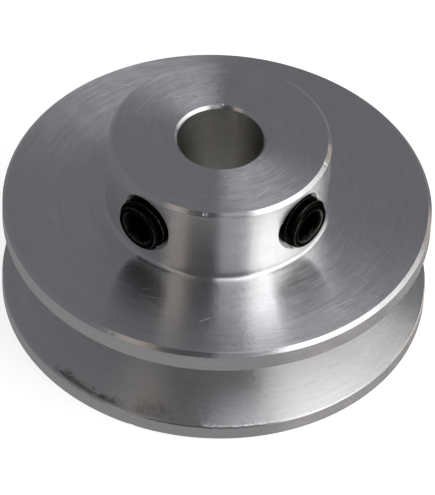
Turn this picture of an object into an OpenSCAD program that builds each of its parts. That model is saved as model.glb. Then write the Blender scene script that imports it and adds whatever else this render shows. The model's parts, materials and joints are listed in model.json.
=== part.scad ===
// Single-groove V belt pulley with a hub, held on its shaft by two radial set screws.
// One turned aluminium body and two steel hex-socket set screws.
// Origin on the bore axis in the rim's outer face, +Z towards the end of the hub. Millimetres.

/* [Sheave] */
// Outside diameter of both rims
outside_d = 40; // [38:0.5:60]
// Thickness of the sheave, over both rims
sheave_t = 11.2; // [10.6:0.1:14]
// Thickness of the rim that is away from the hub
back_rim_t = 1.55; // [1:0.05:2]

/* [Belt groove] */
// Width of the groove at the outside diameter
groove_w = 7.6; // [7.2:0.1:8]
// Depth of the groove below the outside diameter
groove_depth = 7.5; // [6:0.1:8]
// Angle between the two flanks of the groove, in degrees
groove_angle = 40; // [34:1:42]

/* [Hub] */
// Diameter of the hub
hub_d = 20.5; // [19:0.5:24]
// Height of the hub above the sheave
hub_h = 8; // [7.5:0.5:12]
// Diameter of the shaft bore
bore_d = 8; // [6:0.5:9]

/* [Set screws] */
// Thread diameter of the set screws
screw_d = 5; // [4:0.5:5]
// Length of a set screw
screw_len = 6; // [5:0.5:8]
// Pitch of the thread
pitch = 0.8; // [0.5:0.1:0.8]
// Width across the flats of the hexagon socket
socket_af = 2.5; // [2:0.5:2.5]
// How far the outer end of a screw stands above the hub
screw_proud = 0.95; // [0:0.05:2]

/* [Edges] */
// Chamfer on the front rim and on the end of the hub
rim_chamfer = 0.35; // [0.1:0.05:0.5]
// Chamfer at both ends of the bore
bore_chamfer = 0.27; // [0.1:0.01:0.4]
// Edge break on the back rim and at the mouth of the groove
edge_break = 0.1; // [0.05:0.05:0.15]
// Fillet where the hub meets the sheave
hub_fillet = 0.6; // [0.2:0.1:0.8]

/* [Hidden] */

round_fn = 96;
cut_past = 1;                    // how far a cutter runs past the face that it opens

outside_r = outside_d / 2;
hub_r = hub_d / 2;
bore_r = bore_d / 2;
total_h = sheave_t + hub_h;

// The V groove: its two mouth edges, its flat bottom and the height of its middle.
groove_low_z = back_rim_t;
groove_high_z = back_rim_t + groove_w;
flank_rise = groove_depth * tan(groove_angle / 2);
groove_root_r = outside_r - groove_depth;

// The set screws, their thread and their holes.
screw_lift = 0.2;                // how far the screws lie above the middle of the hub's height
screw_gap = 0.04;                // running clearance between the screw's crests and its hole
depth_per_pitch = 0.6;           // depth of the thread for each millimetre of pitch
crest_per_pitch = 1 / 8;         // flat on the top of a thread for each millimetre of pitch
sink_w = 0.56;                   // width of the countersink round a hole

screw_z = sheave_t + hub_h / 2 + screw_lift;
screw_r = screw_d / 2;
hole_r = screw_r + screw_gap;
hole_mouth_r = hole_r + sink_w;
thread_depth = depth_per_pitch * pitch;
crest_w = crest_per_pitch * pitch;

front_azimuth = -90;             // the front screw points along -Y
side_azimuth = 0;                // the side screw points along +X
front_turn = 20;                 // how far the front screw's hexagon is turned, in degrees
side_turn = 4;                   // the same for the side screw

// Points of an arc about centre, from one angle to another.
function arc_points(centre, radius, from, to, steps = 12) =
    [for (i = [0:steps])
        let (a = from + (to - from) * i / steps)
        centre + radius * [cos(a), sin(a)]];

// Half outline of the body, from the bore outwards, as [radius, height] points.
body_outline = concat(
    [[bore_r, bore_chamfer],
     [bore_r + bore_chamfer, 0],
     [outside_r - edge_break, 0],
     [outside_r, edge_break],
     [outside_r, groove_low_z - edge_break],
     [outside_r - edge_break, groove_low_z + edge_break * tan(groove_angle / 2)],
     [groove_root_r, groove_low_z + flank_rise],
     [groove_root_r, groove_high_z - flank_rise],
     [outside_r - edge_break, groove_high_z - edge_break * tan(groove_angle / 2)],
     [outside_r, groove_high_z + edge_break],
     [outside_r, sheave_t - rim_chamfer],
     [outside_r - rim_chamfer, sheave_t]],
    arc_points([hub_r + hub_fillet, sheave_t + hub_fillet], hub_fillet, 270, 180),
    [[hub_r, total_h - rim_chamfer],
     [hub_r - rim_chamfer, total_h],
     [bore_r + bore_chamfer, total_h],
     [bore_r, total_h - bore_chamfer]]);

// Moves a screw or its hole, drawn along +Z from the bore axis, to its radial place.
module radial(azimuth) {
    translate([0, 0, screw_z])
        rotate([0, 90, azimuth])
            children();
}

// Tapped hole from the bore out to the hub's surface, with a countersunk mouth. Its thread
// is a row of ring grooves outside the bare hole.
module tapped_hole() {
    groove_count = floor((hub_r - bore_r) / pitch) - 1;
    cylinder(h = hub_r + cut_past, r = hole_r, $fn = round_fn);
    translate([0, 0, hub_r - hole_mouth_r])
        cylinder(h = hole_mouth_r + cut_past, r1 = 0, r2 = hole_mouth_r + cut_past, $fn = round_fn);
    for (i = [1:groove_count])
        translate([0, 0, bore_r + i * pitch])
            rotate_extrude($fn = round_fn)
                polygon([
                    [0, -pitch / 2 + crest_w / 2],
                    [hole_r, -pitch / 2 + crest_w / 2],
                    [hole_r + thread_depth / 2, 0],
                    [hole_r, pitch / 2 - crest_w / 2],
                    [0, pitch / 2 - crest_w / 2]]);
}

module pulley_body() {
    color("silver")
        difference() {
            rotate_extrude($fn = round_fn)
                polygon(body_outline);
            radial(front_azimuth)
                tapped_hole();
            radial(side_azimuth)
                tapped_hole();
        }
}

// Set screw along +Z, from its cup point at the bottom to its socket end at the top.
module set_screw() {
    root_r = screw_r - thread_depth;
    point_r = 1.35;              // rim of the cup point
    end_chamfer = 0.32;          // chamfer round the socket end
    face_r = screw_r - end_chamfer;
    cup_depth = 0.7;
    socket_depth = 2.6;
    socket_r = socket_af / sqrt(3);
    socket_lead = 0.15;          // chamfer round the mouth of the socket
    first_crest = root_r - point_r + pitch / 2;
    end_crest = screw_len - end_chamfer - crest_w;
    crest_count = floor((end_crest - first_crest) / pitch);

    // Each thread crest as a ring, with the flanks down to the root on both sides.
    crests = [for (i = [crest_count:-1:0])
        let (z = end_crest - (crest_count - i) * pitch)
        each [[screw_r, z + crest_w / 2],
              [screw_r, z - crest_w / 2],
              [root_r, z - pitch / 2 + crest_w / 2],
              [root_r, z - pitch / 2 - crest_w / 2]]];

    difference() {
        rotate_extrude($fn = round_fn)
            polygon(concat(
                [[0, screw_len], [face_r, screw_len], [screw_r, screw_len - end_chamfer]],
                crests,
                [[root_r, root_r - point_r], [point_r, 0], [0, 0]]));
        translate([0, 0, screw_len - socket_depth])
            cylinder(h = socket_depth + cut_past, r = socket_r, $fn = 6);
        translate([0, 0, screw_len - socket_lead])
            cylinder(h = socket_lead + cut_past, r1 = socket_r, r2 = socket_r + socket_lead + cut_past,
                     $fn = round_fn);
        translate([0, 0, -cut_past])
            cylinder(h = cup_depth + cut_past, r1 = point_r + cut_past, r2 = 0, $fn = round_fn);
    }
}

module placed_screw(azimuth, turn) {
    color("dimgray")
        radial(azimuth)
            translate([0, 0, hub_r + screw_proud - screw_len])
                rotate(turn)
                    set_screw();
}

module front_set_screw() {
    placed_screw(front_azimuth, front_turn);
}

module side_set_screw() {
    placed_screw(side_azimuth, side_turn);
}

pulley_body();
front_set_screw();
side_set_screw();
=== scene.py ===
"""Looks of the V belt pulley: a turned aluminium body and two black steel set screws.

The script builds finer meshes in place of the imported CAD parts, gives them their
materials, and sets up a pale floor, plain studio light and the camera. The sizes are in
millimetres, and MM turns them into Blender's metres.
"""
import json
import math

import bpy
import numpy as np
from mathutils import Matrix, Vector


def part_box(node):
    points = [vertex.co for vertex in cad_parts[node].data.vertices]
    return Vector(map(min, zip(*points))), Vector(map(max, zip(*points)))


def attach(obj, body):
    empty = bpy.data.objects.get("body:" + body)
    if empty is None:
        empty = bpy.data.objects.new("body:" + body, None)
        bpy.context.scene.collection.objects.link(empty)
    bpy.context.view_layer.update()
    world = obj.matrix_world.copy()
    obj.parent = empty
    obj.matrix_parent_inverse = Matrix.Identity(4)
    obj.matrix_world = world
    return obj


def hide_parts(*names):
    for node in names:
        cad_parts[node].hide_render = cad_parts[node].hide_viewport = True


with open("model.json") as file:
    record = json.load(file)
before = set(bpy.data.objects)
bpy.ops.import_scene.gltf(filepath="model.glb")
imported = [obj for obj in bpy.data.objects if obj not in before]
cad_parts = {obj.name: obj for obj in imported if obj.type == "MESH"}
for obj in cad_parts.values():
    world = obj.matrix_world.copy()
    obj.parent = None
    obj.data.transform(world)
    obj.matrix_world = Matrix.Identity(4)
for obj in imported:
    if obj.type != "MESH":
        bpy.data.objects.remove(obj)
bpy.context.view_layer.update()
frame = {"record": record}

MM = 0.001

# ---------------------------------------------------------------- sizes

body_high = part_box("pulley_body")[1]
outside_r = body_high.x / MM
total_h = body_high.z / MM
bore_r = next(m for m in frame["record"]["mounts"] if m["name"] == "bore")["dims"]["r_mm"]

sheave_t = 11.2
hub_r = 10.25
back_rim_t = 1.55
groove_w = 7.6
groove_depth = 7.5
flank_angle = math.radians(20)
rim_chamfer = 0.35
bore_chamfer = 0.27
edge_break = 0.1
hub_fillet = 0.6

side_low, side_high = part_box("side_set_screw")
screw_z = (side_low.z + side_high.z) / 2 / MM
screw_r = (side_high.z - side_low.z) / 2 / MM
screw_len = (side_high.x - side_low.x) / MM
screw_tip = side_low.x / MM
pitch = 0.8
thread_depth = 0.48
end_chamfer = 0.32
screw_root_r = screw_r - thread_depth
screw_face_r = screw_r - end_chamfer
screw_point_r = 1.35
socket_across_flats = 2.5
socket_corner_r = socket_across_flats / math.sqrt(3)
socket_mouth_r = 1.68
socket_depth = 2.6
cup_depth = 0.7

screw_gap = 0.04
sink_w = 0.56
hole_r = screw_r + screw_gap
hole_thread_depth = 0.34
hole_mouth_r = hole_r + sink_w

# ---------------------------------------------------------------- mesh helpers


def smoothstep(low, high, x):
    """0 below low, 1 above high and a smooth rise between, for numbers or arrays."""
    t = np.clip((x - low) / (high - low), 0.0, 1.0)
    return t * t * (3 - 2 * t)


def new_object(name, points_mm, faces, span=None):
    """A mesh object from points in millimetres and faces, with an integer per face."""
    mesh = bpy.data.meshes.new(name)
    mesh.from_pydata([tuple(p) for p in np.asarray(points_mm) * MM], [], faces)
    if span is not None:
        layer = mesh.attributes.new("span", "INT", "FACE")
        layer.data.foreach_set("value", np.asarray(span, np.int32))
    mesh.validate()
    mesh.update()
    piece = bpy.data.objects.new(name, mesh)
    bpy.context.scene.collection.objects.link(piece)
    return piece


def ring_faces(rings, around, closed=False):
    """Quads between rings of points, each ring with the same number of points around."""
    faces = []
    pairs = rings if closed else rings - 1
    for i in range(pairs):
        low, high = i * around, ((i + 1) % rings) * around
        for j in range(around):
            k = (j + 1) % around
            faces.append((low + j, low + k, high + k, high + j))
    return faces


def mark_sharp(mesh, degrees):
    """Marks the edges that bend by more than an angle, and shades every face smooth."""
    mesh.polygons.foreach_set("use_smooth", np.ones(len(mesh.polygons), bool))
    mesh.set_sharp_from_angle(angle=math.radians(degrees))
    mesh.update()


# ---------------------------------------------------------------- pulley body


# How near the outline a point is, in millimetres, to count as on it.
ON_SPAN = 0.0005


class Span:
    """One straight or round stretch of the outline, with its outward normals."""

    def __init__(self, points, normal=None, centre=None, outward=1):
        self.points = points
        self.normal = normal
        self.centre = centre
        self.outward = outward

    def holds(self, radius, height):
        """Which points lie on this stretch, and were not moved off it."""
        at = np.stack([radius, height], 1)
        if self.centre is None:
            off = (at - self.points[0]) @ self.normal
        else:
            reach = np.linalg.norm(self.points[0] - self.centre)
            off = np.linalg.norm(at - self.centre, axis=1) - reach
        return np.abs(off) < ON_SPAN

    def normals(self, radius, height):
        """Outward normals in the (radius, height) plane at points on this stretch."""
        if self.centre is None:
            return np.tile(self.normal, (len(radius), 1))
        away = np.stack([radius - self.centre[0], height - self.centre[1]], 1)
        return self.outward * away / np.linalg.norm(away, axis=1, keepdims=True)


def rounded_outline(corners, steps_per_arc=3):
    """Spans of a closed outline given anticlockwise as (radius, height, rounding) corners."""
    spans = []
    count = len(corners)
    starts, ends, arcs = [], [], []
    for i, (r, z, rounding) in enumerate(corners):
        here = np.array([r, z])
        before = np.array(corners[i - 1][:2]) - here
        after = np.array(corners[(i + 1) % count][:2]) - here
        before /= np.linalg.norm(before)
        after /= np.linalg.norm(after)
        half = math.acos(np.clip(before @ after, -1, 1)) / 2
        reach = rounding / math.tan(half)
        middle = (before + after) / np.linalg.norm(before + after)
        centre = here + middle * rounding / math.sin(half)
        starts.append(here + before * reach)
        ends.append(here + after * reach)
        turn = before[1] * after[0] - before[0] * after[1]
        arcs.append((centre, 1 if turn > 0 else -1, rounding))
    for i in range(count):
        centre, outward, rounding = arcs[i]
        first = starts[i] - centre
        last = ends[i] - centre
        a0 = math.atan2(first[1], first[0])
        a1 = math.atan2(last[1], last[0])
        sweep = (a1 - a0 + math.pi) % (2 * math.pi) - math.pi
        steps = max(2, round(steps_per_arc * min(3.0, 1 + rounding * 3)))
        angles = [a0 + sweep * s / steps for s in range(steps + 1)]
        points = [centre + rounding * np.array([math.cos(a), math.sin(a)]) for a in angles]
        spans.append(Span(points, centre=centre, outward=outward))
        along = starts[(i + 1) % count] - ends[i]
        along /= np.linalg.norm(along)
        straight = [ends[i], starts[(i + 1) % count]]
        spans.append(Span(straight, normal=np.array([along[1], -along[0]])))
    return spans


def body_corners():
    """Corners of the turned outline, from the bore outwards, with how round each is."""
    worn = 0.035
    burr = 0.02
    root = 0.25
    groove_low = back_rim_t
    groove_high = back_rim_t + groove_w
    rise = groove_depth * math.tan(flank_angle)
    small = edge_break * math.tan(flank_angle)
    root_r = outside_r - groove_depth
    return [
        (bore_r, bore_chamfer, worn),
        (bore_r + bore_chamfer, 0, worn),
        (outside_r - edge_break, 0, worn),
        (outside_r, edge_break, worn),
        (outside_r, groove_low - edge_break, burr),
        (outside_r - edge_break, groove_low + small, burr),
        (root_r, groove_low + rise, root),
        (root_r, groove_high - rise, root),
        (outside_r - edge_break, groove_high - small, burr),
        (outside_r, groove_high + edge_break, burr),
        (outside_r, sheave_t - rim_chamfer, worn),
        (outside_r - rim_chamfer, sheave_t, worn),
        (hub_r, sheave_t, hub_fillet),
        (hub_r, total_h - rim_chamfer, worn),
        (hub_r - rim_chamfer, total_h, worn),
        (bore_r + bore_chamfer, total_h, worn),
        (bore_r, total_h - bore_chamfer, worn),
    ]


# Handling marks on the turned edges: radius and height of the edge, azimuth, half width
# (degrees) and depth. A negative depth is a burr that stands up.
EDGE_MARKS = [
    (hub_r - 0.2, total_h - 0.1, -56.0, 1.6, 0.07),
    (hub_r - 0.2, total_h - 0.1, -20.0, 1.1, 0.05),
    (hub_r - 0.2, total_h - 0.1, 24.0, 1.0, 0.06),
    (bore_r + 0.2, total_h - 0.1, -118.0, 3.0, 0.06),
    (bore_r + 0.2, total_h - 0.1, -20.0, 2.0, -0.03),
    (bore_r + 0.2, total_h - 0.1, 128.0, 3.5, 0.09),
    (outside_r, back_rim_t, -91.0, 2.2, 0.16),
    (outside_r, back_rim_t, -87.5, 1.5, 0.10),
    (outside_r, back_rim_t, -84.0, 1.8, 0.14),
    (outside_r, back_rim_t, -80.0, 1.6, 0.09),
    (outside_r, back_rim_t, -64.0, 1.2, 0.06),
    (outside_r, back_rim_t, -61.0, 1.0, 0.05),
    (outside_r, back_rim_t, -49.0, 1.8, -0.07),
    (outside_r, back_rim_t, -45.5, 2.2, -0.05),
    (outside_r, back_rim_t, -42.0, 1.6, -0.08),
    (outside_r, back_rim_t, -38.5, 2.0, -0.06),
    (outside_r, back_rim_t, -34.5, 1.7, -0.07),
    (outside_r, back_rim_t, -12.0, 1.0, 0.05),
    (outside_r, sheave_t - 0.1, -88.0, 1.0, 0.07),
    (outside_r, sheave_t - 0.1, -77.0, 1.0, 0.05),
    (outside_r, sheave_t - 0.1, -58.0, 1.0, 0.04),
    (outside_r, sheave_t - 0.1, -22.0, 1.0, 0.05),
    (outside_r, sheave_t - 0.1, 31.0, 1.0, 0.05),
    (outside_r, sheave_t - 0.1, 163.0, 1.5, 0.10),
    (outside_r, sheave_t - 0.1, 118.0, 1.0, 0.06),
    (outside_r, back_rim_t + groove_w, -33.0, 1.0, 0.06),
    (outside_r, back_rim_t + groove_w, 9.0, 1.0, 0.05),
    (outside_r, 0.1, -70.0, 1.0, 0.06),
    (outside_r, 0.1, 62.0, 1.2, 0.06),
    (outside_r, 0.1, 204.0, 1.2, 0.07),
]
# How far a mark reaches from its edge, and where the outline has extra points to show it.
MARK_REACH = 0.32
MARK_STEPS = (0.06, 0.15, 0.3)


def worn(points):
    """The points of the body with its edge marks pressed in or raised."""
    radius = np.hypot(points[:, 0], points[:, 1])
    azimuth = np.degrees(np.arctan2(points[:, 1], points[:, 0]))
    spoke = points[:, :2] / radius[:, None]
    shift = np.zeros((len(points), 2))
    for r, z, middle, half_width, depth in EDGE_MARKS:
        off = np.abs((azimuth - middle + 180) % 360 - 180) / half_width
        near = np.hypot(radius - r, points[:, 2] - z) / MARK_REACH
        amount = depth * smoothstep(0, 1, 1 - off) * smoothstep(0, 1, 1 - near)
        inward = np.array([-1.0, 1.0 if z < sheave_t / 2 else -1.0]) / math.sqrt(2)
        shift += amount[:, None] * inward
    moved = points.copy()
    moved[:, :2] += spoke * shift[:, :1]
    moved[:, 2] += shift[:, 1]
    return moved


def finer(span):
    """The points of a span, with extra ones next to each end that has edge marks."""
    if span.centre is not None:
        return span.points[:-1]
    first, last = span.points
    length = np.linalg.norm(last - first)
    marked = [
        any(math.hypot(end[0] - r, end[1] - z) < MARK_REACH for r, z, *_ in EDGE_MARKS)
        for end in (first, last)
    ]
    places = {0.0, length / 2}
    for step in MARK_STEPS:
        if step < length / 2:
            places |= {step} if marked[0] else set()
            places |= {length - step} if marked[1] else set()
    return [first + (last - first) * place / length for place in sorted(places)]


def turned_body(spans, around=480):
    """The body before its holes: the outline swept round the axis."""
    outline, span_of = [], []
    for number, span in enumerate(spans, start=1):
        points = finer(span)
        outline += points
        span_of += [number] * len(points)
    angles = np.arange(around) * 2 * math.pi / around
    points = np.array([(r * math.cos(a), r * math.sin(a), z) for r, z in outline for a in angles])
    faces = ring_faces(len(outline), around, closed=True)
    return new_object("pulley_body_look", worn(points), faces, np.repeat(span_of, around))


def thread_height(along, turn, crest=0.125, root=0.25):
    """Height of a 60 degree thread from 0 in the root to 1 on the crest, at a place along
    its axis and an angle round it in turns."""
    phase = np.abs(((along / pitch - turn) % 1.0) - 0.5) * 2
    return np.clip((phase - root) / (1 - root - crest), 0, 1)


def radial_grid(radius_at, low, high, step, around):
    """Points of a surface round +Z whose radius depends on the height and the turn."""
    heights = np.linspace(low, high, round((high - low) / step) + 1)
    turns = np.arange(around) / around
    height, turn = np.meshgrid(heights, turns, indexing="ij")
    radius = radius_at(height, turn)
    angle = 2 * math.pi * turn
    points = np.stack([radius * np.cos(angle), radius * np.sin(angle), height], -1)
    return points.reshape(-1, 3), len(heights)


def radial_matrix(azimuth_degrees):
    """Moves something drawn along +Z from the bore axis to a radial place on the hub."""
    turn = Matrix.Rotation(math.radians(azimuth_degrees), 4, "Z")
    tilt = Matrix.Rotation(math.radians(90), 4, "Y")
    return Matrix.Translation((0, 0, screw_z * MM)) @ turn @ tilt


def hole_cutter(name, azimuth, thread_turn):
    """The space of one tapped hole: its bare hole, helical thread and countersink."""
    around = 96
    step = 0.05
    low, high = 1.0, hub_r + 0.8

    def radius_at(height, turn):
        groove = hole_thread_depth * thread_height(height, turn + thread_turn)
        sink = hole_mouth_r + height - hub_r
        in_wall = smoothstep(bore_r - 1.2, bore_r - 0.6, height)
        return np.maximum(hole_r + groove * in_wall, sink)

    points, rings = radial_grid(radius_at, low, high, step, around)
    faces = ring_faces(rings, around)
    last = (rings - 1) * around
    faces.append(tuple(reversed(range(around))))
    faces.append(tuple(range(last, last + around)))
    cutter = new_object(name, points, faces, np.zeros(len(faces)))
    cutter.data.transform(radial_matrix(azimuth))
    return cutter


def cut(piece, cutter):
    """Cuts one mesh out of another and removes the cutter."""
    modifier = piece.modifiers.new("cut", "BOOLEAN")
    modifier.operation = "DIFFERENCE"
    modifier.solver = "EXACT"
    modifier.object = cutter
    graph = bpy.context.evaluated_depsgraph_get()
    mesh = bpy.data.meshes.new_from_object(piece.evaluated_get(graph))
    piece.modifiers.clear()
    piece.data = mesh
    bpy.data.objects.remove(cutter)


def set_turned_normals(piece, spans):
    """Gives every turned face its exact normals, and leaves the holes' own ones."""
    mesh = piece.data
    mark_sharp(mesh, 35)
    loops = len(mesh.loops)
    normals = np.zeros(loops * 3, np.float32)
    mesh.corner_normals.foreach_get("vector", normals)
    normals = normals.reshape(-1, 3).astype(float)
    points = np.zeros(len(mesh.vertices) * 3, np.float32)
    mesh.vertices.foreach_get("co", points)
    points = points.reshape(-1, 3) / MM
    vertex_of = np.zeros(loops, np.int32)
    mesh.loops.foreach_get("vertex_index", vertex_of)
    span_of_face = np.zeros(len(mesh.polygons), np.int32)
    mesh.attributes["span"].data.foreach_get("value", span_of_face)
    corners = np.zeros(len(mesh.polygons), np.int32)
    mesh.polygons.foreach_get("loop_total", corners)
    span_of_loop = np.repeat(span_of_face, corners)
    at = points[vertex_of]
    radius = np.hypot(at[:, 0], at[:, 1])
    for number, span in enumerate(spans, start=1):
        chosen = np.flatnonzero(span_of_loop == number)
        chosen = chosen[span.holds(radius[chosen], at[chosen, 2])]
        flat = span.normals(radius[chosen], at[chosen, 2])
        spoke = at[chosen, :2] / radius[chosen, None]
        normals[chosen, :2] = spoke * flat[:, :1]
        normals[chosen, 2] = flat[:, 1]
    mesh.normals_split_custom_set([tuple(n) for n in normals])


def make_body():
    """The turned body with its two tapped holes."""
    spans = rounded_outline(body_corners())
    piece = turned_body(spans)
    cut(piece, hole_cutter("front_cutter", -90, 0.30))
    cut(piece, hole_cutter("side_cutter", 0, 0.62))
    set_turned_normals(piece, spans)
    return piece


# ---------------------------------------------------------------- set screws


def add_edge_wear_and_highlight(piece, points):
    """Stores how rubbed each point of a screw is: on its crests, the edge of its socket end
    and the mouth of its socket. The lighter steel there is real wear and also a painted
    highlight along these edges."""
    # Crests, the socket end's edge and the socket mouth get lighter steel: wear, and a painted
    # highlight too.
    crest_wear_and_highlight = 0.5
    rub_and_highlight_fades, rub_and_highlight_full = 0.10, 0.02
    at = np.array(points)
    radius, height = np.hypot(at[:, 0], at[:, 1]), at[:, 2]
    crest = crest_wear_and_highlight * smoothstep(screw_r - 0.07, screw_r - 0.01, radius)
    from_end = np.hypot(radius - screw_face_r, height - screw_len)
    from_mouth = np.hypot(radius - socket_mouth_r, height - screw_len)
    end = smoothstep(rub_and_highlight_fades, rub_and_highlight_full, from_end)
    mouth = smoothstep(rub_and_highlight_fades, rub_and_highlight_full, from_mouth)
    wear_and_highlight = np.maximum(np.maximum(crest, end), mouth)
    layer = piece.data.attributes.new("edge_wear", "FLOAT", "POINT")
    layer.data.foreach_set("value", wear_and_highlight.astype(np.float32))


def make_screw(name, azimuth, hexagon_turn, thread_turn):
    """A cup-point set screw with a helical thread and a hexagon socket."""
    around = 120
    step = 0.03

    def radius_at(height, turn):
        thread = screw_root_r + thread_depth * thread_height(height, turn + thread_turn)
        point = screw_point_r + height
        end = screw_face_r + screw_len - height
        return np.minimum(np.minimum(thread, point), end)

    points, rings = radial_grid(radius_at, 0.0, screw_len, step, around)
    faces = ring_faces(rings, around)
    points = list(map(tuple, points))

    def add_ring(radius_of_angle, height):
        first = len(points)
        for j in range(around):
            a = 2 * math.pi * j / around
            r = radius_of_angle(a)
            z = height(a) if callable(height) else height
            points.append((r * math.cos(a), r * math.sin(a), z))
        return first

    def join(low, high):
        for j in range(around):
            k = (j + 1) % around
            faces.append((low + j, low + k, high + k, high + j))

    def hexagon(a):
        sector = (a - math.radians(hexagon_turn)) % (math.pi / 3) - math.pi / 6
        return socket_corner_r * math.cos(math.pi / 6) / math.cos(sector)

    # Socket end: flat ring with rounded edges, cone into the hexagon, the hexagon's walls
    # and a drilled bottom.
    outer = (rings - 1) * around
    ease = 0.05
    wear_end = 0.12
    drill_r = 0.9
    middle_r = 0.05

    def cone_depth(a):
        return socket_mouth_r - hexagon(a)

    steps = [
        (lambda a: screw_face_r - ease, screw_len),
        (lambda a: screw_face_r - wear_end, screw_len),
        (lambda a: socket_mouth_r + wear_end, screw_len),
        (lambda a: socket_mouth_r + ease, screw_len),
        (lambda a: socket_mouth_r, lambda a: screw_len - 0.3 * ease),
        (lambda a: (socket_mouth_r + hexagon(a)) / 2, lambda a: screw_len - cone_depth(a) / 2),
        (hexagon, lambda a: screw_len - cone_depth(a)),
        (hexagon, screw_len - 0.7),
        (hexagon, screw_len - socket_depth),
        (lambda a: drill_r, screw_len - socket_depth - 0.12),
        (lambda a: middle_r, screw_len - socket_depth - 0.55),
    ]
    previous = outer
    for radius_of_angle, height in steps:
        ring = add_ring(radius_of_angle, height)
        join(previous, ring)
        previous = ring
    faces.append(tuple(range(previous, previous + around)))

    # Cup point: its rim, the cup and the cup's bottom.
    previous = 0
    cup_rings = (
        (screw_point_r - 0.12, 0.0),
        (0.45, cup_depth),
        (middle_r, cup_depth + 0.1),
    )
    for radius, height in cup_rings:
        ring = add_ring(lambda a: radius, height)
        join(ring, previous)
        previous = ring
    faces.append(tuple(reversed(range(previous, previous + around))))

    piece = new_object(name, points, faces)
    add_edge_wear_and_highlight(piece, points)
    piece.data.transform(Matrix.Translation((0, 0, screw_tip * MM)))
    piece.data.transform(radial_matrix(azimuth))
    mark_sharp(piece.data, 32)
    return piece


# ---------------------------------------------------------------- materials


class NodeMath:
    """Short calls that add nodes to a node tree and hand back their outputs."""

    def __init__(self, tree):
        self.tree = tree

    def wire(self, socket, value):
        if isinstance(value, bpy.types.NodeSocket):
            self.tree.links.new(value, socket)
        else:
            socket.default_value = value

    def math(self, operation, *values):
        node = self.tree.nodes.new("ShaderNodeMath")
        node.operation = operation
        for socket, value in zip(node.inputs, values):
            self.wire(socket, value)
        return node.outputs[0]

    def dot(self, a, b):
        node = self.tree.nodes.new("ShaderNodeVectorMath")
        node.operation = "DOT_PRODUCT"
        self.wire(node.inputs[0], a)
        self.wire(node.inputs[1], b)
        return node.outputs["Value"]

    def scaled_plus(self, vector, scale, plus):
        """vector times the number scale, plus another vector."""
        scaled = self.tree.nodes.new("ShaderNodeVectorMath")
        scaled.operation = "SCALE"
        self.wire(scaled.inputs[0], vector)
        self.wire(scaled.inputs["Scale"], scale)
        total = self.tree.nodes.new("ShaderNodeVectorMath")
        total.operation = "ADD"
        self.wire(total.inputs[0], scaled.outputs[0])
        self.wire(total.inputs[1], plus)
        return total.outputs[0]

    def ramp(self, value, low, high, low_value=0.0, high_value=1.0):
        """A smooth step from low_value at low to high_value at high."""
        node = self.tree.nodes.new("ShaderNodeMapRange")
        node.interpolation_type = "SMOOTHSTEP"
        for name, v in (("Value", value), ("From Min", low), ("From Max", high),
                        ("To Min", low_value), ("To Max", high_value)):
            self.wire(node.inputs[name], v)
        return node.outputs["Result"]

    def noise(self, vector, scale, detail=2.0, roughness=0.5, w=None):
        """Noise about 0.5, over three dimensions, or over four when w is given."""
        node = self.tree.nodes.new("ShaderNodeTexNoise")
        node.noise_dimensions = "3D" if w is None else "4D"
        self.wire(node.inputs["Vector"], vector)
        self.wire(node.inputs["Scale"], scale)
        self.wire(node.inputs["Detail"], detail)
        self.wire(node.inputs["Roughness"], roughness)
        if w is not None:
            self.wire(node.inputs["W"], w)
        return node.outputs["Fac"]

    def vector(self, x, y, z):
        node = self.tree.nodes.new("ShaderNodeCombineXYZ")
        for socket, value in zip(node.inputs, (x, y, z)):
            self.wire(socket, value)
        return node.outputs[0]

    def parts(self, vector):
        node = self.tree.nodes.new("ShaderNodeSeparateXYZ")
        self.wire(node.inputs[0], vector)
        return node.outputs[0], node.outputs[1], node.outputs[2]

    def scaled(self, vector, scale):
        node = self.tree.nodes.new("ShaderNodeVectorMath")
        node.operation = "SCALE"
        self.wire(node.inputs[0], vector)
        self.wire(node.inputs["Scale"], scale)
        return node.outputs[0]

    def mix(self, factor, low, high, vector=False):
        """A colour, or a vector, between low and high."""
        kind = "Vector" if vector else "Color"
        node = self.tree.nodes.new("ShaderNodeMix")
        node.data_type = "VECTOR" if vector else "RGBA"
        for name, value in (("Factor_Float", factor), ("A_" + kind, low), ("B_" + kind, high)):
            socket = next(x for x in node.inputs if x.identifier == name)
            self.wire(socket, value)
        return next(x for x in node.outputs if x.identifier == "Result_" + kind)

    def sum(self, *values):
        total = values[0]
        for value in values[1:]:
            total = self.math("ADD", total, value)
        return total

    def times(self, *values):
        total = values[0]
        for value in values[1:]:
            total = self.math("MULTIPLY", total, value)
        return total

    def length(self, a, b):
        return self.math("SQRT", self.sum(self.times(a, a), self.times(b, b)))

    def about(self, value, amount, middle=0.5):
        """A noise made into a swing of about plus or minus amount round zero."""
        return self.math("MULTIPLY", self.math("SUBTRACT", value, middle), 2 * amount)

    def between(self, value, low, high, soft):
        """1 where value lies between low and high, and 0 outside, with a soft edge."""
        above = self.ramp(value, low - soft, low + soft)
        below = self.ramp(value, high - soft, high + soft, 1.0, 0.0)
        return self.math("MULTIPLY", above, below)

    def bump(self, height_mm):
        node = self.tree.nodes.new("ShaderNodeBump")
        self.wire(node.inputs["Height"], height_mm)
        self.wire(node.inputs["Distance"], MM)
        return node.outputs[0]


def principled(name):
    """A new material and its Principled shader."""
    material = bpy.data.materials.new(name)
    material.use_nodes = True
    return material, material.node_tree.nodes["Principled BSDF"]


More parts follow.
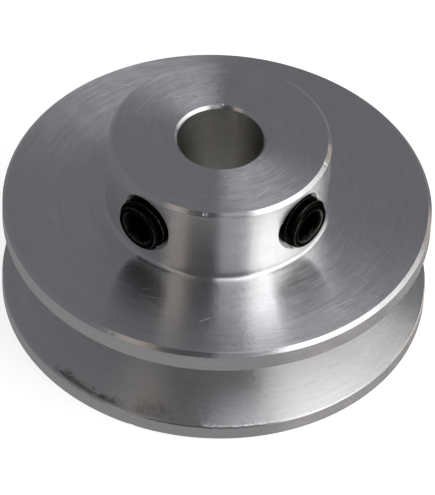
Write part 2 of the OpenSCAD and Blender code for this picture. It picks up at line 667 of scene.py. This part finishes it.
# Scratches on the flat faces: azimuth and radius of the middle, direction as an angle from
# the tool marks there (degrees), and length.
SCRATCHES = [
    (-75, 14.4, 12, 2.2),
    (-72, 14.9, -18, 1.6),
    (-70, 14.1, 4, 1.9),
    (-77, 13.6, 35, 1.1),
    (-52, 15.6, 30, 1.4),
    (-47, 17.1, 2, 4.6),
    (-31, 17.6, -6, 3.4),
    (-34, 17.0, 3, 2.4),
    (-8, 17.3, -7, 3.8),
    (20, 15.2, 24, 1.5),
    (88, 15.9, -35, 2.4),
    (131, 16.8, 14, 2.8),
    (163, 17.6, -28, 1.8),
    (-141, 15.0, 8, 2.9),
    (-96, 17.2, -12, 2.0),
    (-20, 8.1, 15, 1.8),
    (-62, 7.6, -25, 1.3),
    (107, 7.9, 6, 2.3),
    (170, 6.6, -40, 1.2),
]


def scratches(add, x, y):
    """The scratches of the list, each a thin line that fades at its ends."""
    half_width = 0.025
    total = 0.0
    for azimuth, radius, turn, length in SCRATCHES:
        at = math.radians(azimuth)
        along_x = math.cos(at + math.radians(90 + turn))
        along_y = math.sin(at + math.radians(90 + turn))
        off_x = add.math("SUBTRACT", x, radius * math.cos(at))
        off_y = add.math("SUBTRACT", y, radius * math.sin(at))
        along = add.sum(add.times(off_x, along_x), add.times(off_y, along_y))
        across = add.sum(add.times(off_x, -along_y), add.times(off_y, along_x))
        line = add.times(
            add.ramp(add.math("ABSOLUTE", along), length / 4, length / 2, 1.0, 0.0),
            add.ramp(add.math("ABSOLUTE", across), 0.0, 2 * half_width, 1.0, 0.0),
        )
        total = add.sum(total, line)
    return total


def turned_aluminium():
    """Bright turned aluminium. Its microscopic grooves run round the axis, so highlights are
    sharp along them and wide across them."""
    material, shader = principled("turned_aluminium_look")
    tree = material.node_tree
    add = NodeMath(tree)
    shader.inputs["Metallic"].default_value = 1
    shader.inputs["Anisotropic"].default_value = 1.0
    shader.inputs["Anisotropic Rotation"].default_value = 0.25
    place = add.scaled(tree.nodes.new("ShaderNodeTexCoord").outputs["Object"], 1 / MM)
    x, y, z = add.parts(place)
    radius = add.length(x, y)

    # The grooves run round the pulley's axis, and round a tapped hole's own axis inside it.
    rise = add.math("SUBTRACT", z, screw_z)
    tangent = add.vector(add.times(y, -1), x, 0.0)
    for across, outward, round_hole in (
        (y, x, add.vector(0.0, rise, add.times(y, -1))),
        (x, add.times(y, -1), add.vector(rise, 0.0, add.times(x, -1))),
    ):
        inside = add.times(
            add.math("LESS_THAN", add.length(across, rise), hole_mouth_r - 0.01),
            add.math("GREATER_THAN", outward, bore_r + 0.3),
        )
        tangent = add.mix(inside, tangent, round_hole, vector=True)
    add.wire(shader.inputs["Tangent"], tangent)

    azimuth = add.times(add.math("ARCTAN2", y, x), 180 / math.pi)
    up = add.parts(tree.nodes.new("ShaderNodeNewGeometry").outputs["Normal"])[2]
    flat = add.ramp(up, 0.8, 0.95)
    flank = add.times(
        add.between(z, back_rim_t + 0.1, back_rim_t + groove_w - 0.1, 0.05),
        add.ramp(radius, outside_r - 0.1, outside_r - 0.02, 1.0, 0.0),
    )

    # Tool marks: noise that hardly changes round the axis.
    round_place = add.vector(
        radius,
        add.times(add.math("DIVIDE", x, radius), 0.8),
        add.times(add.math("DIVIDE", y, radius), 0.8),
    )
    fine = add.noise(round_place, 6.0, 2.0, 0.6, w=z)
    band = add.noise(round_place, 1.3, 1.0, 0.5, w=z)
    short = add.noise(add.vector(radius, add.times(azimuth, 0.10), z), 5.0, 2.0, 0.65)
    cloud = add.noise(place, 0.45, 3.0, 0.6)
    grain = add.noise(place, 6.0, 2.0, 0.6)
    marks = add.times(flat, scratches(add, x, y))

    # Grime on the lower flank of the groove, on one side: a streak along the edge and a
    # mottled patch beside it.
    lower = add.times(flank, add.ramp(z, 3.0, 4.0, 1.0, 0.0))
    patchy = add.noise(place, 1.3, 4.0, 0.75)
    streak = add.times(
        add.between(azimuth, -95, -75, 4),
        add.ramp(add.sum(radius, add.about(patchy, 1.4)), 19.0, 19.9),
    )
    mottle = add.times(
        add.between(azimuth, -70, -60, 2.5),
        add.ramp(radius, 17.6, 19.2),
        add.ramp(patchy, 0.30, 0.75),
    )
    grime = add.times(lower, add.sum(streak, add.times(mottle, 0.5)))

    # A ragged burr along a stretch of the groove's lower edge.
    burr = add.times(
        add.between(azimuth, -51, -32, 1.0),
        add.between(z, back_rim_t, back_rim_t + 0.20, 0.03),
        add.ramp(radius, outside_r - 0.5, outside_r - 0.4),
    )
    bored = add.ramp(radius, bore_r + 0.05, bore_r + 0.10, 1.0, 0.0)

    brightness = add.sum(
        1.0,
        add.about(fine, 0.10),
        add.about(band, 0.05),
        add.about(short, 0.08),
        add.about(cloud, 0.05),
        # Faces that point up are made a little darker: painted shade on the flat faces.
        add.times(flat, -0.04),
        add.times(flank, 0.10),
        add.times(marks, 0.08),
        add.about(grain, 0.05),
        add.times(grime, -0.45),
        add.times(bored, -0.20),
    )
    clean = add.mix(bored, (0.865, 0.865, 0.87, 1), (0.86, 0.85, 0.80, 1))
    metal = add.mix(grime, clean, (0.64, 0.63, 0.59, 1))
    shade = add.scaled(metal, brightness)
    add.wire(shader.inputs["Base Color"], shade)

    roughness = add.sum(
        0.235,
        add.times(flank, 0.17),
        add.about(cloud, 0.04),
        add.about(fine, 0.05),
        add.times(marks, 0.10),
        add.times(grime, 0.2),
    )
    add.wire(shader.inputs["Roughness"], roughness)

    height = add.sum(
        add.about(fine, 0.006),
        add.about(band, 0.006),
        add.about(short, 0.0015),
        add.times(flank, add.about(short, 0.010)),
        add.about(cloud, 0.009),
        add.about(grain, 0.0012),
        add.times(marks, -0.005),
        add.times(burr, add.about(patchy, 0.05)),
        add.times(grime, add.about(grain, 0.02)),
    )
    add.wire(shader.inputs["Normal"], add.bump(height))
    return material


def black_steel():
    """Black oxide steel of the set screws, rubbed bright along its edges: bare steel from wear,
    which is also a painted highlight there.
    """
    material, shader = principled("black_steel_look")
    tree = material.node_tree
    add = NodeMath(tree)
    shader.inputs["Metallic"].default_value = 1
    shader.inputs["Specular Tint"].default_value = (0.45, 0.45, 0.44, 1)
    place = add.scaled(tree.nodes.new("ShaderNodeTexCoord").outputs["Object"], 1 / MM)
    cloud = add.noise(place, 1.1, 3.0, 0.6)
    grain = add.noise(place, 9.0, 2.0, 0.6)
    edge = tree.nodes.new("ShaderNodeAttribute")
    edge.attribute_name = "edge_wear"
    # Lighter bare steel along the edges: wear, and partly a painted highlight.
    rubbed_and_highlit = add.times(edge.outputs["Fac"], add.ramp(grain, 0.30, 0.62))
    oxide = add.mix(cloud, (0.005, 0.005, 0.0047, 1), (0.011, 0.0107, 0.0100, 1))
    bare_steel_and_highlight = (0.13, 0.125, 0.115, 1)
    add.wire(shader.inputs["Base Color"], add.mix(rubbed_and_highlit, oxide, bare_steel_and_highlight))
    roughness = add.sum(0.31, add.about(cloud, 0.08), add.times(rubbed_and_highlit, -0.06))
    add.wire(shader.inputs["Roughness"], roughness)
    height = add.sum(add.about(grain, 0.004), add.about(cloud, 0.006))
    add.wire(shader.inputs["Normal"], add.bump(height))
    return material


# ---------------------------------------------------------------- camera and light

CAMERA_AZIMUTH = 40.0


def direction(azimuth, elevation):
    """Unit vector towards an azimuth, counted from the camera's side to the picture's
    right, and an elevation above the horizon, in degrees."""
    a = math.radians(CAMERA_AZIMUTH + azimuth)
    e = math.radians(elevation)
    return Vector((math.sin(a) * math.cos(e), -math.cos(a) * math.cos(e), math.sin(e)))


def make_camera():
    elevation = 45.4
    distance = 0.4145
    roll = math.radians(2.9)
    aim = Vector((0, 0, 4.0 * MM))
    aside = 0.25 * MM
    above = 0.52 * MM
    back = direction(0, elevation)
    level_right = direction(90, 0)
    level_up = back.cross(level_right)
    right = level_right * math.cos(roll) + level_up * math.sin(roll)
    up = level_up * math.cos(roll) - level_right * math.sin(roll)
    data = bpy.data.cameras.new("camera")
    data.lens = 320
    data.clip_start = 0.01
    data.clip_end = 20
    camera = bpy.data.objects.new("camera", data)
    bpy.context.scene.collection.objects.link(camera)
    place = Matrix((right, up, back)).transposed().to_4x4()
    place.translation = aim + right * aside + up * above + back * distance
    camera.matrix_world = place
    bpy.context.scene.camera = camera


def make_floor():
    """A pale floor. It glows, so that it is nearly white with a faint shadow. The metal
    doesn't reflect it, and reflects the studio's table instead."""
    size = 30.0
    floor = new_object(
        "floor",
        np.array([(-1, -1, 0), (1, -1, 0), (1, 1, 0), (-1, 1, 0)]) * size / MM,
        [(0, 1, 2, 3)],
    )
    material, shader = principled("floor")
    shader.inputs["Base Color"].default_value = (0.5, 0.5, 0.5, 1)
    shader.inputs["Roughness"].default_value = 0.9
    shader.inputs["Emission Color"].default_value = (1, 1, 1, 1)
    shader.inputs["Emission Strength"].default_value = 0.82
    floor.data.materials.append(material)
    floor.visible_glossy = False
    floor.visible_shadow = False


# The studio: a dim room, a white table and seven softboxes. Each softbox has the azimuth and
# elevation of its middle, half its width and half its height (degrees), its strength and its
# colour. Azimuth 0 is the camera's side, 90 its right.
NEUTRAL = (1.0, 1.0, 1.0)
WARM = (1.0, 0.85, 0.70)
COOL = (0.97, 0.97, 1.05)
ROOM_STRENGTH = 0.06
TABLE_STRENGTH = 0.20
TABLE_EDGE_ELEVATION = -5
SOFTBOXES = [
    (80, 50, 45, 35, 1.10, NEUTRAL),   # key, high on the right
    (65, 40, 20, 25, 0.50, NEUTRAL),   # middle of the key, where it is brightest
    (25, 70, 20, 15, 1.00, COOL),      # top light
    (155, 70, 20, 15, 0.50, COOL),     # back light, high behind on the right
    (-40, 50, 10, 30, 0.30, WARM),     # fill, left of the camera
    (180, 40, 140, 40, 0.10, COOL),    # walls, all round but the camera's side
    (85, -10, 50, 10, 0.90, WARM),     # the key's glare on the table
]
EDGE_SOFTNESS = 4.0


def make_world():
    """Pale for the camera. The metal reflects the studio: its room, table and softboxes."""
    world = bpy.data.worlds.new("studio")
    bpy.context.scene.world = world
    world.use_nodes = True
    tree = world.node_tree
    add = NodeMath(tree)
    towards = tree.nodes.new("ShaderNodeTexCoord").outputs["Generated"]
    ahead = add.dot(towards, direction(0, 0))
    aside = add.dot(towards, direction(90, 0))
    azimuth = add.math("ARCTAN2", aside, ahead)
    elevation = add.math("ARCSINE", add.dot(towards, Vector((0, 0, 1))))
    soft = math.radians(EDGE_SOFTNESS)

    def window(angle, middle, half, whole_turn):
        """1 within half of middle, in degrees, and 0 outside, with a soft edge."""
        off = add.math("SUBTRACT", angle, math.radians(middle))
        if whole_turn:
            off = add.math("WRAP", off, math.pi, -math.pi)
        reach = math.radians(half)
        return add.ramp(add.math("ABSOLUTE", off), reach - soft, reach + soft, 1.0, 0.0)

    table = add.ramp(
        elevation,
        math.radians(TABLE_EDGE_ELEVATION - EDGE_SOFTNESS),
        math.radians(TABLE_EDGE_ELEVATION + EDGE_SOFTNESS),
        TABLE_STRENGTH,
        0.0,
    )
    room_light = tuple(ROOM_STRENGTH * part for part in COOL)
    light = add.scaled_plus(NEUTRAL, table, room_light)
    for box_azimuth, box_elevation, half_width, half_height, strength, colour in SOFTBOXES:
        box = add.times(
            window(azimuth, box_azimuth, half_width, True),
            window(elevation, box_elevation, half_height, False),
            strength,
        )
        light = add.scaled_plus(colour, box, light)

    room = tree.nodes.new("ShaderNodeBackground")
    add.wire(room.inputs["Color"], light)
    backdrop = tree.nodes["Background"]
    backdrop.inputs["Color"].default_value = (1, 1, 1, 1)
    light_path = tree.nodes.new("ShaderNodeLightPath")
    choice = tree.nodes.new("ShaderNodeMixShader")
    tree.links.new(light_path.outputs["Is Camera Ray"], choice.inputs["Fac"])
    tree.links.new(room.outputs["Background"], choice.inputs[1])
    tree.links.new(backdrop.outputs["Background"], choice.inputs[2])
    tree.links.new(choice.outputs["Shader"], tree.nodes["World Output"].inputs["Surface"])


# ---------------------------------------------------------------- put together

bpy.context.scene.view_settings.view_transform = "Standard"
make_camera()

aluminium = turned_aluminium()
steel = black_steel()

body = make_body()
body.data.materials.clear()
body.data.materials.append(aluminium)
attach(body, "pulley")
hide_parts("pulley_body")

front_screw = make_screw("front_set_screw_look", -90, 20, 0.1)
side_screw = make_screw("side_set_screw_look", 0, 4, 0.55)
for screw, body_name, node in (
    (front_screw, "front_screw", "front_set_screw"),
    (side_screw, "side_screw", "side_set_screw"),
):
    screw.data.materials.append(steel)
    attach(screw, body_name)
    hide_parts(node)

make_floor()
make_world()
